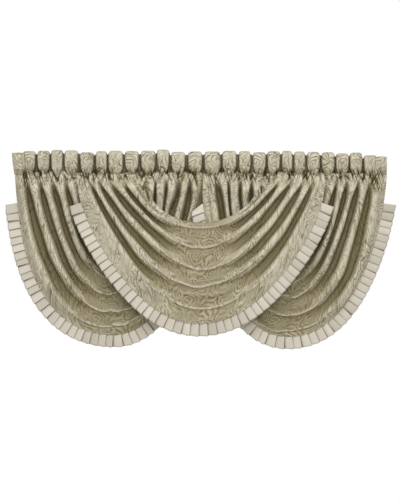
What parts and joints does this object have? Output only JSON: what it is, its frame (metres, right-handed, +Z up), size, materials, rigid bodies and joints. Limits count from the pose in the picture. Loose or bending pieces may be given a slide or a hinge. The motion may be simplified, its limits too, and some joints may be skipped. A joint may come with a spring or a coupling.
{
  "type": "waterfall valance",
  "caption": "Window valance of draped satin swags in crescent folds, with shirred rod-pocket headings and a pale knife-pleated trim round each curved hem.",
  "frame": {"origin": "over the rod's axis, at the top edge of the headings and the middle of their length", "axes": "+X along the rod to the right as seen from the front, the front faces -Y, +Z up"},
  "size_m": [1.0474, 0.0875, 0.535],
  "materials": {
    "damask_satin": "tone-on-tone damask satin, soft sheen",
    "pleated_trim": "plain matt satin, pressed knife pleats"
  },
  "bodies": {
    "root": {"left_swag_left_heading": "damask_satin", "centre_swag_left_heading": "damask_satin", "left_swag_right_heading": "damask_satin", "right_swag_left_heading": "damask_satin", "centre_swag_right_heading": "damask_satin", "right_swag_right_heading": "damask_satin", "left_swag_panel": "damask_satin", "left_swag_trim": "pleated_trim", "centre_swag_panel": "damask_satin", "centre_swag_trim": "pleated_trim", "right_swag_panel": "damask_satin", "right_swag_trim": "pleated_trim"}
  },
  "joints": []
}
